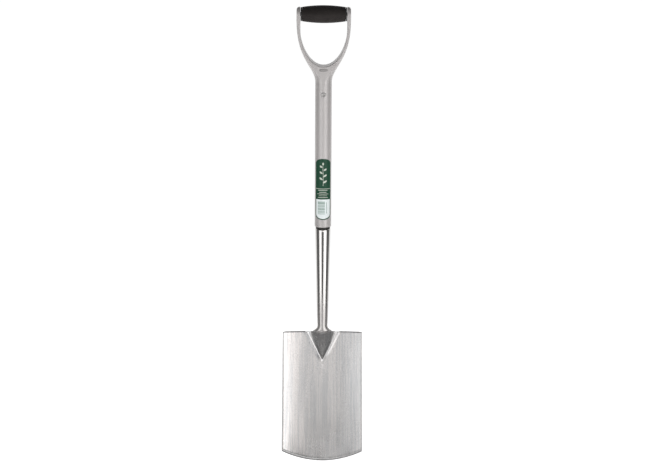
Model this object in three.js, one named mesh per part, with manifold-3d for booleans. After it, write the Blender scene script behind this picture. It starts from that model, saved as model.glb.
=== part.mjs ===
// A stainless steel garden spade: a pressed blade with a V-shaped hollow, a tapered neck welded behind it,
// a plastic-covered shaft and a D-shaped handle with a soft grip.
// Millimetres, +Z up the shaft, the front of the blade towards -Y. The shaft's axis is x = y = 0 until
// the end, where the whole group is moved so that the middle of its box stands on the origin.
import * as THREE from "three";
import { mergeVertices } from "three/addons/utils/BufferGeometryUtils.js";
import Module from "manifold-3d";

// ---- driving dimensions ----
const GAP = 0.3; // clearance between touching pieces

const BLADE_HEIGHT = 290.8;
const BLADE_TOP_WIDTH = 179.5;
const BLADE_FOOT_WIDTH = 182.5;
const BLADE_SHEET = 2.2;
const BLADE_EDGE = 0.7; // thickness left at the sharpened edge
const BEVEL_LENGTH = 5;
const FOOT_RADIUS = 193; // arc of the cutting edge
const CORNER_RADIUS = 2.5;
const BLADE_LIFT = 40; // how far the cutting edge stands forward of the top
const BLADE_DISH = 6; // how far the side edges stand forward of the middle
const BLADE_FLAT_SHARE = 0.28; // share of the half-width that stays flat
const BLADE_FRONT = -12; // front face at the top, against the shaft's axis

const VALLEY_DEPTH = 19;
const VALLEY_LENGTH = 68;
const VALLEY_HALF_WIDTH = 35.5;
const VALLEY_TIP_HALF_WIDTH = 3;
const VALLEY_SHOULDER = 0.26; // rounded outer share of each valley wall

const TREAD_INNER_X = 41;
const TREAD_OUTER_X = 84;
const TREAD_DEPTH = 6.6;
const TREAD_SHEET = 2.4;

const NECK_WAIST_Z = 300;
const NECK_WAIST_RADIUS = 11.5;
const NECK_TOP_Z = 525;
const NECK_TOP_RADIUS = 17.3;
const NECK_FLARE_HALF_WIDTH = 20.5;
const NECK_FOOT_Z = 229;
const NECK_FOOT_HALF_WIDTH = 2.5;
const TONGUE_THICKNESS = 3.4;
const TONGUE_FOOT_THICKNESS = 2.5;
const TONGUE_INTO_BLADE = 6; // how far the tongue is made forward before the blade is cut from it
const SOCKET_FLOOR_Z = 320;
const WELD_RADIUS = 1.9;

const CORE_RADIUS = 13;
const CORE_WALL = 1.8;
const CORE_BOTTOM_Z = 458;
const SOCKET_RIVET_Z = 492;
const SOCKET_RIVET_RADIUS = 2.5;
const SOCKET_RIVET_HEAD = 4.6;

const RING_RADIUS = 16.15;
const RING_HEIGHT = 5;
const SLEEVE_RADIUS = 18.5;
const SLEEVE_BOTTOM_Z = 530.5;
const SLEEVE_TOP_Z = 855;

const LABEL_BOTTOM_Z = 548.5;
const LABEL_TOP_Z = 687.3;
const LABEL_HALF_ANGLE = Math.PI / 3;
const LABEL_END = 11.5; // height of the label's rounded ends
const LABEL_SHEET = 0.4;

const YOKE_OUTER_HALF_WIDTH = 60.4;
const YOKE_ARM = 8.5;
const YOKE_SHOULDER_Z = 994; // where the outer curve of the D begins
const YOKE_ARM_FOOT_Z = 974; // where the inner curve of the D ends
const YOKE_ARM_BOW = 0.8;
const YOKE_THROAT_Z = 894.6; // lowest point of the hand opening
const YOKE_THROAT_HALF_DEPTH = 18.4;
const YOKE_ARM_HALF_DEPTH = 14.5;
const YOKE_TOP_Z = 1026.6;
const YOKE_CORNER = 6;
const SPIGOT_RADIUS = 10.8;
const SPIGOT_BOTTOM_Z = 812;
const SPIGOT_TOP_Z = 870;
const PAD_Z = 887;
const PAD_HALF_HEIGHT = 3.1;
const PAD_HALF_LENGTH = 9.5;
const RIVET_Z = 832;
const RIVET_RADIUS = 3;
const RIVET_HEAD_RADIUS = 5.5;

const GRIP_Z = 1010.3;
const GRIP_HALF_LENGTH = 51.3;
const GRIP_FLANGE = 3;
const GRIP_END_RADIUS = 15.6;
const GRIP_MIDDLE_RADIUS = 19.8;
const GRIP_CORE_RADIUS = 12;
const ROD_RADIUS = 4;

// ---- solids ----
const wasm = await Module();
wasm.setup();

function solid(geometry) {
  const plain = geometry.clone();
  plain.deleteAttribute("normal");
  plain.deleteAttribute("uv");
  const merged = mergeVertices(plain, 1e-4);
  const triVerts = new Uint32Array(merged.index.array);
  const vertProperties = new Float32Array(merged.attributes.position.array);
  return new wasm.Manifold(new wasm.Mesh({ numProp: 3, vertProperties, triVerts }));
}

function geometryOf(body) {
  const { vertProperties, triVerts } = body.getMesh();
  const geometry = new THREE.BufferGeometry();
  geometry.setAttribute("position", new THREE.BufferAttribute(vertProperties, 3));
  geometry.setIndex(new THREE.BufferAttribute(triVerts, 1));
  geometry.computeVertexNormals();
  return geometry;
}

// Moves every vertex of a geometry to where a function of its place puts it.
function shaped(geometry, place) {
  const position = geometry.attributes.position;
  const point = new THREE.Vector3();
  for (let i = 0; i < position.count; i++) {
    point.fromBufferAttribute(position, i);
    place(point);
    position.setXYZ(i, point.x, point.y, point.z);
  }
  return geometry;
}

// A solid of revolution about the shaft's axis from [radius, z] corners, anticlockwise with z up.
function turned(corners, segments = 40) {
  const profile = corners.map(([radius, z]) => new THREE.Vector2(radius, z));
  if (corners[0][0] > 0) profile.push(profile[0].clone());
  return new THREE.LatheGeometry(profile, segments).rotateX(Math.PI / 2).rotateZ(Math.PI / 2);
}

function rodAlongX(radius, length, z, segments = 32) {
  const rod = new THREE.CylinderGeometry(radius, radius, length, segments);
  return rod.rotateZ(Math.PI / 2).translate(0, 0, z);
}

function rodAlongY(radius, fromY, toY, z, segments = 24) {
  const rod = new THREE.CylinderGeometry(radius, radius, toY - fromY, segments);
  return rod.translate(0, (fromY + toY) / 2, z);
}

const mix = THREE.MathUtils.lerp;
const { smoothstep, clamp } = THREE.MathUtils;

// ---- blade ----
function footZ(x) {
  return FOOT_RADIUS - Math.sqrt(FOOT_RADIUS ** 2 - x ** 2);
}

// Depth of the pressed hollow at a share q of its half-width, for a point d below the top edge.
function valleyDepth(q, d) {
  const full = VALLEY_DEPTH * Math.max(0, 1 - d / VALLEY_LENGTH);
  if (q >= 1) return 0;
  const s = VALLEY_SHOULDER;
  const wall = q > 1 - s ? (1 - q) ** 2 / (2 * s) : s / 2 + (1 - s - q);
  return (full * wall) / (1 - s / 2);
}

function rimHalfWidth(d) {
  return Math.max(VALLEY_HALF_WIDTH * (1 - d / VALLEY_LENGTH), VALLEY_TIP_HALF_WIDTH);
}

function bladeHalfWidth(d) {
  const half = mix(BLADE_TOP_WIDTH, BLADE_FOOT_WIDTH, d / BLADE_HEIGHT) / 2;
  const above = Math.max(0, CORNER_RADIUS - d);
  return half - CORNER_RADIUS + Math.sqrt(CORNER_RADIUS ** 2 - above ** 2);
}

// The middle plane's y, with the lift and the dish but without the hollow.
function sheetY(x, d) {
  const share = Math.abs(x) / (BLADE_TOP_WIDTH / 2);
  const bent = Math.max(0, (share - BLADE_FLAT_SHARE) / (1 - BLADE_FLAT_SHARE));
  return BLADE_FRONT - (BLADE_LIFT * d) / BLADE_HEIGHT - BLADE_DISH * bent ** 2;
}

function backY(x, z) {
  const d = Math.max(0, BLADE_HEIGHT - z);
  return sheetY(x, d) + valleyDepth(Math.abs(x) / rimHalfWidth(d), d) + BLADE_SHEET;
}

const GRID = { columns: 30, rows: 24, rimShare: 0.48, upperShare: 0.6, upperHeight: 84 };

// Puts a box of x, y, z in -1..1 onto the blade. Its columns follow the hollow's rims, and its rows
// stand closer in the hollow and at the sharpened foot.
function ontoBlade(point, frontOf, backOf) {
  const down = (1 - point.z) / 2;
  const { rimShare, upperShare, upperHeight } = GRID;
  const upper = Math.min(1, down / upperShare) ** 1.3 * upperHeight;
  const lower = 1 - (1 - Math.max(0, (down - upperShare) / (1 - upperShare))) ** 1.65;
  const rim = rimHalfWidth(upper);
  const u = Math.abs(point.x);
  const half = bladeHalfWidth(mix(upper, BLADE_HEIGHT, lower));
  const x = u < rimShare ? (rim * u) / rimShare : mix(rim, half, (u - rimShare) / (1 - rimShare));
  const bottom = footZ(x);
  const z = mix(BLADE_HEIGHT - upper, bottom, lower);
  const toEdge = z - bottom;
  const back = point.y > 0;
  point.x = Math.sign(point.x) * x;
  point.z = z;
  point.y = back ? backOf(x, z) : frontOf(x, z, toEdge);
}

function bladeBox(frontOf, backOf) {
  const box = new THREE.BoxGeometry(2, 2, 2, GRID.columns, 1, GRID.rows);
  return shaped(box, (point) => ontoBlade(point, frontOf, backOf));
}

function bladeSolid() {
  const front = (x, z, toEdge) => {
    const bevel = 1 - clamp(toEdge / BEVEL_LENGTH, 0, 1);
    return backY(x, z) - mix(BLADE_SHEET, BLADE_EDGE, bevel);
  };
  const sheet = solid(bladeBox(front, backY));
  return [-1, 1].reduce((body, side) => body.add(treadSolid(side)), sheet);
}

// The top edge folded back as a step for the foot, on one side of the hollow.
function treadSolid(side) {
  const length = TREAD_OUTER_X - TREAD_INNER_X;
  const middle = (side * (TREAD_INNER_X + TREAD_OUTER_X)) / 2;
  const box = new THREE.BoxGeometry(length, TREAD_DEPTH, TREAD_SHEET, 8, 1, 1);
  box.translate(middle, TREAD_DEPTH / 2 + 0.8, BLADE_HEIGHT - TREAD_SHEET / 2);
  return solid(shaped(box, (point) => void (point.y += sheetY(point.x, 0))));
}

// ---- neck ----
function neckRadius(z) {
  const rise = clamp((z - NECK_WAIST_Z) / (NECK_TOP_Z - NECK_WAIST_Z), 0, 1);
  return mix(NECK_WAIST_RADIUS, NECK_TOP_RADIUS, rise ** 0.93);
}

const FLARE_HEIGHT = NECK_WAIST_Z + 4 - BLADE_HEIGHT;

// Half-width and the front and back y of the neck's section at a height.
function neckSection(z, extra) {
  if (z >= BLADE_HEIGHT) {
    const flare = clamp(1 - (z - BLADE_HEIGHT) / FLARE_HEIGHT, 0, 1) ** 2.6;
    const radius = neckRadius(z) + extra;
    return { half: mix(radius, NECK_FLARE_HALF_WIDTH + extra, flare), front: radius, back: radius };
  }
  const t = (z - NECK_FOOT_Z) / (BLADE_HEIGHT - NECK_FOOT_Z);
  const half = mix(NECK_FOOT_HALF_WIDTH, NECK_FLARE_HALF_WIDTH, t) + extra;
  const back = mix(TONGUE_FOOT_THICKNESS, TONGUE_THICKNESS, t) + extra;
  return { half, front: TONGUE_INTO_BLADE, back };
}

function neckLoft(extra) {
  const rings = 36;
  const column = new THREE.CylinderGeometry(1, 1, 1, 36, rings).rotateX(Math.PI / 2);
  return shaped(column, (point) => {
    const share = Math.min(1, point.z + 0.5);
    const z = share < 0.5
      ? mix(NECK_FOOT_Z, BLADE_HEIGHT + FLARE_HEIGHT, share / 0.5)
      : mix(BLADE_HEIGHT + FLARE_HEIGHT, NECK_TOP_Z, (share - 0.5) / 0.5);
    const section = neckSection(z, extra);
    const [across, deep] = [point.x, point.y];
    point.z = z;
    point.x = across * section.half;
    const base = z >= BLADE_HEIGHT ? 0 : backY(Math.abs(point.x), z) + GAP;
    point.y = base + deep * (deep > 0 ? section.back : section.front);
  });
}

// Everything in front of the blade's back face, the blade included, with clearance.
function bladeSide() {
  const back = (x, z) => backY(x, z) + GAP;
  return solid(bladeBox(() => -200, back)).translate([0, 0, GAP]);
}

function neckSolid() {
  const bore = turned([
    [0, SOCKET_FLOOR_Z],
    [neckRadius(SOCKET_FLOOR_Z) - 2.4, SOCKET_FLOOR_Z],
    [CORE_RADIUS - 0.9, CORE_BOTTOM_Z - 2],
    [CORE_RADIUS + GAP, CORE_BOTTOM_Z - 2],
    [CORE_RADIUS + GAP, NECK_TOP_Z + 5],
    [0, NECK_TOP_Z + 5],
  ]);
  const hole = rodAlongY(SOCKET_RIVET_RADIUS + GAP, 5, 30, SOCKET_RIVET_Z);
  return solid(neckLoft(0)).subtract(bladeSide()).subtract(solid(bore)).subtract(solid(hole));
}

// A weld bead down one edge of the neck's tongue, from the top of the blade to the hollow's tip.
function weldSolid(side) {
  const points = [];
  for (let i = 0; i <= 14; i++) {
    const z = mix(BLADE_HEIGHT - 3, NECK_FOOT_Z + 4, i / 14);
    const x = neckSection(z, 0).half;
    points.push(new THREE.Vector3(side * (x + 0.6), backY(x, z) + 0.8, z));
  }
  const section = new THREE.Shape().absarc(0, 0, WELD_RADIUS, 0, 2 * Math.PI);
  const path = new THREE.CatmullRomCurve3(points);
  const bead = new THREE.ExtrudeGeometry(section, { steps: 28, curveSegments: 5, extrudePath: path });
  const cleared = solid(bead).subtract(bladeSide()).subtract(solid(neckLoft(GAP)));
  return cleared.decompose().sort((a, b) => b.volume() - a.volume())[0];
}

function socketRivetSolid() {
  const surface = neckRadius(SOCKET_RIVET_Z);
  const inside = CORE_RADIUS - CORE_WALL - 1.5;
  const shank = solid(rodAlongY(SOCKET_RIVET_RADIUS, inside, surface + 1, SOCKET_RIVET_Z));
  const dome = new THREE.SphereGeometry(SOCKET_RIVET_HEAD, 24, 12).scale(1, 0.5, 1);
  dome.translate(0, surface + 0.6, SOCKET_RIVET_Z);
  const head = solid(dome).subtract(solid(neckLoft(0.15)));
  return head.add(shank);
}

// ---- shaft ----
function coreSolid() {
  const inner = CORE_RADIUS - CORE_WALL;
  const top = SLEEVE_TOP_Z - 1;
  const tube = solid(turned([
    [inner, CORE_BOTTOM_Z],
    [CORE_RADIUS, CORE_BOTTOM_Z],
    [CORE_RADIUS, top],
    [inner, top],
  ]));
  const lower = solid(rodAlongY(SOCKET_RIVET_RADIUS + GAP, 0, 30, SOCKET_RIVET_Z));
  const upper = solid(rodAlongY(RIVET_RADIUS + GAP, -30, 30, RIVET_Z));
  return tube.subtract(lower).subtract(upper);
}

function ringSolid() {
  const inner = CORE_RADIUS + GAP;
  const bottom = NECK_TOP_Z + GAP;
  const top = bottom + RING_HEIGHT - 2 * GAP;
  return solid(turned([
    [inner, bottom],
    [RING_RADIUS - 0.5, bottom],
    [RING_RADIUS, bottom + 0.5],
    [RING_RADIUS, top - 0.5],
    [RING_RADIUS - 0.5, top],
    [inner, top],
  ]));
}

function sleeveSolid() {
  const inner = CORE_RADIUS + GAP;
  const tube = solid(turned([
    [inner, SLEEVE_BOTTOM_Z],
    [SLEEVE_RADIUS - 1.2, SLEEVE_BOTTOM_Z],
    [SLEEVE_RADIUS, SLEEVE_BOTTOM_Z + 1.2],
    [SLEEVE_RADIUS, SLEEVE_TOP_Z],
    [inner, SLEEVE_TOP_Z],
  ]));
  const seat = [-1, 1].map((side) => {
    const [near, far] = [SLEEVE_RADIUS - 1.2, SLEEVE_RADIUS + 5];
    return rodAlongY(RIVET_HEAD_RADIUS + GAP, side > 0 ? near : -far, side > 0 ? far : -near, RIVET_Z, 32);
  });
  const hole = rodAlongY(RIVET_RADIUS + GAP, -30, 30, RIVET_Z);
  return [hole, ...seat].reduce((body, cutter) => body.subtract(solid(cutter)), tube);
}

// The rivet through shaft and handle: a shank and two shallow dished heads.
function yokeRivetSolid() {
  const reach = SLEEVE_RADIUS - 1.2 + GAP;
  const shank = solid(rodAlongY(RIVET_RADIUS, -reach - 0.5, reach + 0.5, RIVET_Z));
  return [-1, 1].reduce((body, side) => {
    const ends = [side * reach, side * (reach + 1.5)].sort((a, b) => a - b);
    const head = solid(rodAlongY(RIVET_HEAD_RADIUS, ends[0], ends[1], RIVET_Z, 32));
    const dish = new THREE.SphereGeometry(6, 24, 16).translate(0, side * (reach + 6.9), RIVET_Z);
    return body.add(head).subtract(solid(dish));
  }, shank);
}

function labelSolid() {
  const inner = SLEEVE_RADIUS + 0.15;
  const outer = inner + LABEL_SHEET;
  const [low, high] = [LABEL_BOTTOM_Z, LABEL_TOP_Z];
  const half = LABEL_HALF_ANGLE * SLEEVE_RADIUS;
  const outline = new THREE.Shape();
  outline.absellipse(0, high - LABEL_END, half, LABEL_END, 0, Math.PI);
  outline.absellipse(0, low + LABEL_END, half, LABEL_END, Math.PI, 2 * Math.PI);
  const sheet = new THREE.ExtrudeGeometry(outline, { depth: 1, bevelEnabled: false, curveSegments: 12 });
  // Narrow flat strips bend round the shaft without creasing.
  const strips = [];
  const count = 16;
  const width = (2 * half) / count;
  for (let i = 0; i < count; i++) {
    const box = new THREE.BoxGeometry(width, high - low + 10, 2);
    box.translate(-half + (i + 0.5) * width, (low + high) / 2, 0.5);
    strips.push(solid(box).intersect(solid(sheet)));
  }
  const flat = geometryOf(strips.reduce((body, strip) => body.add(strip)));
  return solid(shaped(flat, (point) => {
    const angle = point.x / SLEEVE_RADIUS;
    const radius = mix(inner, outer, point.z);
    point.set(radius * Math.sin(angle), -radius * Math.cos(angle), point.y);
  }));
}

// ---- handle ----
const at = (x, z) => new THREE.Vector2(x, z);
const OUTER_CURVE = new THREE.CubicBezierCurve(
  at(YOKE_OUTER_HALF_WIDTH, YOKE_SHOULDER_Z),
  at(YOKE_OUTER_HALF_WIDTH, YOKE_THROAT_Z + 9.9),
  at(SLEEVE_RADIUS - 1.7, YOKE_THROAT_Z - 3.1),
  at(SLEEVE_RADIUS + 0.1, SLEEVE_TOP_Z + GAP),
);
const INNER_HALF_WIDTH = YOKE_OUTER_HALF_WIDTH - YOKE_ARM;
const INNER_CURVE = new THREE.CubicBezierCurve(
  at(0, YOKE_THROAT_Z),
  at(30, YOKE_THROAT_Z),
  at(INNER_HALF_WIDTH, YOKE_ARM_FOOT_Z - 35),
  at(INNER_HALF_WIDTH, YOKE_ARM_FOOT_Z),
);

// The two faces of an arm bow out very slightly between the end of the D's curve and the top.
const INNER_ARM = new THREE.QuadraticBezierCurve(
  at(INNER_HALF_WIDTH, YOKE_ARM_FOOT_Z),
  at(INNER_HALF_WIDTH + YOKE_ARM_BOW, (YOKE_ARM_FOOT_Z + YOKE_TOP_Z) / 2),
  at(INNER_HALF_WIDTH, YOKE_TOP_Z),
);
const OUTER_ARM = new THREE.QuadraticBezierCurve(
  at(YOKE_OUTER_HALF_WIDTH, YOKE_TOP_Z - YOKE_CORNER),
  at(YOKE_OUTER_HALF_WIDTH + YOKE_ARM_BOW / 2, (YOKE_TOP_Z - YOKE_CORNER + YOKE_SHOULDER_Z) / 2),
  at(YOKE_OUTER_HALF_WIDTH, YOKE_SHOULDER_Z),
);

function yokeOutline() {
  const corner = [];
  for (let i = 0; i < 4; i++) {
    const angle = (Math.PI / 2) * (1 - i / 4) * 0.98;
    const x = YOKE_OUTER_HALF_WIDTH + YOKE_CORNER * (Math.cos(angle) - 1);
    corner.push(at(x, YOKE_TOP_Z + YOKE_CORNER * (Math.sin(angle) - 1)));
  }
  const half = [
    ...INNER_CURVE.getPoints(16),
    ...INNER_ARM.getPoints(10).slice(1),
    ...corner,
    ...OUTER_ARM.getPoints(4),
    ...OUTER_CURVE.getPoints(20).slice(1),
  ];
  const mirrored = half.slice(1).reverse().map((point) => at(-point.x, point.y));
  return new THREE.Shape([...half, ...mirrored]);
}

// Half the handle's depth at a height: full at the throat, thinner up the arms, round at the top.
function yokeHalfDepth(z) {
  const thinner = smoothstep(z, YOKE_THROAT_Z - 10, (YOKE_ARM_FOOT_Z + YOKE_SHOULDER_Z) / 2);
  const arm = mix(YOKE_THROAT_HALF_DEPTH, YOKE_ARM_HALF_DEPTH, thinner);
  const above = clamp((z - GRIP_Z) / (YOKE_TOP_Z - GRIP_Z + 0.6), 0, 1);
  return arm * Math.sqrt(1 - above ** 2);
}

function yokeSolid() {
  const depth = 2 * YOKE_THROAT_HALF_DEPTH;
  const plate = new THREE.ExtrudeGeometry(yokeOutline(), { depth, bevelEnabled: false });
  plate.translate(0, 0, -depth / 2).rotateX(Math.PI / 2);
  shaped(plate, (point) => void (point.y *= yokeHalfDepth(point.z) / YOKE_THROAT_HALF_DEPTH));
  // The stem is round at the shaft and widens with the outline.
  const profile = OUTER_CURVE.getPoints(20).reverse().map((point) => [point.x, point.y]);
  const clear = YOKE_OUTER_HALF_WIDTH + 20;
  const above = YOKE_TOP_Z + 30;
  const limit = turned([
    [0, SLEEVE_TOP_Z + GAP],
    ...profile,
    [clear, YOKE_SHOULDER_Z - 4],
    [clear, above],
    [0, above],
  ], 64);
  const stem = solid(plate).intersect(solid(limit));
  const spigot = turned([
    [0, SPIGOT_BOTTOM_Z],
    [SPIGOT_RADIUS, SPIGOT_BOTTOM_Z],
    [SPIGOT_RADIUS, SPIGOT_TOP_Z],
    [0, SPIGOT_TOP_Z],
  ], 32);
  const pad = new THREE.CylinderGeometry(PAD_HALF_HEIGHT, PAD_HALF_HEIGHT, 2, 20);
  pad.scale(PAD_HALF_LENGTH / PAD_HALF_HEIGHT, 1, 1).translate(0, -yokeHalfDepth(PAD_Z), PAD_Z);
  const holes = [
    rodAlongY(RIVET_RADIUS + GAP, -30, 30, RIVET_Z),
    rodAlongX(ROD_RADIUS + GAP, 140, GRIP_Z),
  ];
  const whole = stem.add(solid(spigot)).add(solid(pad));
  return holes.reduce((body, hole) => body.subtract(solid(hole)), whole);
}

// ---- grip ----
function grip(corners, segments = 40) {
  return solid(turned(corners, segments).rotateY(Math.PI / 2).translate(0, 0, GRIP_Z));
}

// A hard spool: the black bands at the two ends of the grip are its flanges.
function gripCoreSolid() {
  const bore = ROD_RADIUS + GAP;
  const end = GRIP_HALF_LENGTH;
  const waist = end - GRIP_FLANGE;
  return grip([
    [bore, -end],
    [GRIP_END_RADIUS - 0.8, -end],
    [GRIP_END_RADIUS, -end + 0.8],
    [GRIP_END_RADIUS, -waist],
    [GRIP_CORE_RADIUS, -waist],
    [GRIP_CORE_RADIUS, waist],
    [GRIP_END_RADIUS, waist],
    [GRIP_END_RADIUS, end - 0.8],
    [GRIP_END_RADIUS - 0.8, end],
    [bore, end],
  ]);
}

function gripSleeveSolid() {
  const end = GRIP_HALF_LENGTH - GRIP_FLANGE - GAP;
  const inner = GRIP_CORE_RADIUS + GAP;
  const barrel = [];
  for (let i = 0; i <= 12; i++) {
    const along = mix(-1, 1, i / 12);
    const radius = GRIP_MIDDLE_RADIUS - (GRIP_MIDDLE_RADIUS - GRIP_END_RADIUS - 0.4) * along ** 2;
    barrel.push([radius, along * end]);
  }
  return grip([[inner, -end], ...barrel, [inner, end]]);
}

function gripRodSolid() {
  return solid(rodAlongX(ROD_RADIUS, 2 * YOKE_OUTER_HALF_WIDTH - 0.6, GRIP_Z));
}

// ---- finishes ----
const finish = (color, roughness, metalness) => {
  return new THREE.MeshStandardMaterial({ color, roughness, metalness });
};
const brushedSteel = finish(0xc4c1bf, 0.38, 1);
const polishedSteel = finish(0xd6d2ce, 0.16, 1);
const weldSteel = finish(0x9c9894, 0.5, 1);
const tubeSteel = finish(0x8f9192, 0.45, 1);
const greyPlastic = finish(0xb8b4b3, 0.42, 0.1);
const blackPlastic = finish(0x2f2c2b, 0.5, 0);
const softBlack = finish(0x383331, 0.85, 0);
const labelFilm = finish(0x0d452c, 0.35, 0);

const spade = new THREE.Group();
const frame = new THREE.Group();
frame.add(spade);

function addPart(name, body, material) {
  const mesh = new THREE.Mesh(geometryOf(body), material);
  mesh.name = name;
  spade.add(mesh);
}

addPart("blade", bladeSolid(), brushedSteel);
addPart("neck_socket", neckSolid(), polishedSteel);
addPart("weld_left", weldSolid(-1), weldSteel);
addPart("weld_right", weldSolid(1), weldSteel);
addPart("socket_rivet", socketRivetSolid(), polishedSteel);
addPart("collar_ring", ringSolid(), blackPlastic);
addPart("shaft_core", coreSolid(), tubeSteel);
addPart("shaft_sleeve", sleeveSolid(), greyPlastic);
addPart("label", labelSolid(), labelFilm);
addPart("handle_yoke", yokeSolid(), greyPlastic);
addPart("yoke_rivet", yokeRivetSolid(), tubeSteel);
addPart("grip_core", gripCoreSolid(), blackPlastic);
addPart("grip_sleeve", gripSleeveSolid(), softBlack);
addPart("grip_rod", gripRodSolid(), tubeSteel);

// The origin is under the middle of the whole spade's box.
const box = new THREE.Box3().setFromObject(spade);
const middle = box.getCenter(new THREE.Vector3());
spade.position.set(-middle.x, -middle.y, -box.min.z);

export default frame;
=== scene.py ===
"""A stainless steel garden spade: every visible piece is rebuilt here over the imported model's frame."""

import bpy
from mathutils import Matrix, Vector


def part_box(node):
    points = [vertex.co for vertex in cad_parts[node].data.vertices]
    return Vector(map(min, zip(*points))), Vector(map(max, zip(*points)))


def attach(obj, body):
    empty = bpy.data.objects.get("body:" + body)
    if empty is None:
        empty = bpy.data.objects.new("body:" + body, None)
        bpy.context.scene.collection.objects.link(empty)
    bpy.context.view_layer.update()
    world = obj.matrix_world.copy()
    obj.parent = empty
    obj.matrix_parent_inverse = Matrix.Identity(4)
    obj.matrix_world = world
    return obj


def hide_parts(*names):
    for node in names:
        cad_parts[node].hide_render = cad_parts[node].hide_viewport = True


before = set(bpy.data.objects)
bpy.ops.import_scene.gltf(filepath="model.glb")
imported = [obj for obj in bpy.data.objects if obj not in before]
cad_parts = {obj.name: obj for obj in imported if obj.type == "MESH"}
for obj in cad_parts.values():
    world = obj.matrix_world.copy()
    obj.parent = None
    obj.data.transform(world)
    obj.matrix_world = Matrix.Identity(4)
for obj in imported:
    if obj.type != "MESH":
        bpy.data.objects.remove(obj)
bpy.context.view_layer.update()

import math

import bmesh
import bpy
import numpy as np
from mathutils import Matrix, Vector

MM = 0.001


def size_mm(node):
    """The lowest and highest corners of a CAD node, in millimetres."""
    low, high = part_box(node)
    return np.array(low) / MM, np.array(high) / MM


# ---- driving dimensions, in millimetres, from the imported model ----
BLADE_LOW, BLADE_HIGH = size_mm("blade")
NECK_LOW, NECK_HIGH = size_mm("neck_socket")
RING_LOW, RING_HIGH = size_mm("collar_ring")
SLEEVE_LOW, SLEEVE_HIGH = size_mm("shaft_sleeve")
LABEL_LOW, LABEL_HIGH = size_mm("label")
YOKE_LOW, YOKE_HIGH = size_mm("handle_yoke")
GRIP_LOW, GRIP_HIGH = size_mm("grip_sleeve")
SPOOL_LOW, SPOOL_HIGH = size_mm("grip_core")
RIVET_LOW, RIVET_HIGH = size_mm("yoke_rivet")
SOCKET_RIVET_LOW, SOCKET_RIVET_HIGH = size_mm("socket_rivet")

AXIS_Y = (SLEEVE_LOW[1] + SLEEVE_HIGH[1]) / 2  # the shaft's axis
TOP = BLADE_HIGH[2]  # the blade's top edge
SLEEVE_RADIUS = (SLEEVE_HIGH[0] - SLEEVE_LOW[0]) / 2
RING_RADIUS = (RING_HIGH[0] - RING_LOW[0]) / 2
GRIP_Z = (GRIP_LOW[2] + GRIP_HIGH[2]) / 2

# The blade's own shape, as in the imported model.
SHEET = 2.2
EDGE_SHEET = 0.7
BEVEL_LENGTH = 5
TOP_HALF_WIDTH = 89.75
FOOT_HALF_WIDTH = 91.25
FOOT_RADIUS = 193
CORNER_RADIUS = 2.5
BLADE_FRONT = -12
LIFT = 40
DISH = 6
FLAT_SHARE = 0.28
VALLEY_DEPTH = 19
VALLEY_LENGTH = 68
VALLEY_HALF_WIDTH = 35.5
VALLEY_TIP_HALF_WIDTH = 3
VALLEY_SHOULDER = 0.26
TREAD_BEND = 2.6
TREAD_FLAT = 3.4
TREAD_INNER_X = 39.5
TREAD_OUTER_X = 85
TREAD_END = 2.5  # width over which a tread's end rises into its bend
TREAD_ROWS = 12
HOLLOW_ROWS_DOWN_TO = 84  # the mesh rows lie level this far below the top, then fan out to the foot

WAIST_Z = 300
WAIST_RADIUS = 11.5
FLARE_TOP_Z = WAIST_Z + 4
NECK_TOP_RADIUS = 17.3
FLARE_HALF_WIDTH = 20.5
TONGUE_THICKNESS = 3.4
TONGUE_FOOT_THICKNESS = 2.5
TONGUE_FOOT_HALF_WIDTH = 2.5
BORE_RADIUS = 13.3  # round the steel tube inside ring and sleeve


# ---- small helpers ----
def lerp(a, b, t):
    return a + (b - a) * t


def ease(t):
    t = np.clip(t, 0, 1)
    return t * t * (3 - 2 * t)


def place(points):
    """Millimetres about the shaft's axis to metres in the model's frame."""
    return (np.asarray(points, float) + (0, AXIS_Y, 0)) * MM


def piece(name, points, faces, material, nodes=(), smooth_angle=40):
    """A mesh piece from points in millimetres about the shaft's axis, riding on the root body."""
    mesh = bpy.data.meshes.new(name)
    mesh.from_pydata([tuple(p) for p in place(points)], [], [tuple(f) for f in faces])
    obj = bpy.data.objects.new(name, mesh)
    bpy.context.scene.collection.objects.link(obj)
    tidy(obj)
    return finish_piece(obj, material, nodes, smooth_angle)


def tidy(obj):
    """Merges doubled points and turns all faces outwards."""
    bm = bmesh.new()
    bm.from_mesh(obj.data)
    bmesh.ops.remove_doubles(bm, verts=bm.verts, dist=1e-7)
    bmesh.ops.dissolve_degenerate(bm, edges=bm.edges, dist=1e-8)
    bmesh.ops.recalc_face_normals(bm, faces=bm.faces)
    bm.to_mesh(obj.data)
    bm.free()


def finish_piece(obj, material, nodes, smooth_angle=40):
    obj.data.materials.clear()
    obj.data.materials.append(material)
    obj.data.shade_smooth()
    if smooth_angle:
        obj.data.set_sharp_from_angle(angle=math.radians(smooth_angle))
    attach(obj, "root")
    if nodes:
        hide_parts(*nodes)
    return obj


def grid_faces(rows, columns, start=0, closed=False):
    """Quads between the rows of a grid of points; closed joins the last column to the first."""
    faces = []
    span = columns if closed else columns - 1
    for r in range(rows - 1):
        for c in range(span):
            a = start + r * columns + c
            b = start + r * columns + (c + 1) % columns
            faces.append((a, b, b + columns, a + columns))
    return faces


def turned(profile, segments=96):
    """Points and faces of a closed profile of (radius, z) turned about the shaft's axis."""
    angles = np.arange(segments) * 2 * math.pi / segments
    points = [(r * math.cos(a), r * math.sin(a), z) for r, z in profile for a in angles]
    return points, grid_faces(len(profile), segments, closed=True)


def capped_turn(profile, segments=96):
    """As turned, for a profile that starts and ends on or near the axis: both ends get a cap."""
    points, faces = turned(profile, segments)
    faces.append(tuple(range(segments)))
    faces.append(tuple(range(len(points) - segments, len(points))))
    return points, faces


def along_x(points, z):
    """Turns a solid made about Z to lie along X at a height."""
    return [(pz, px, py + z) for px, py, pz in points]


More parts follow.
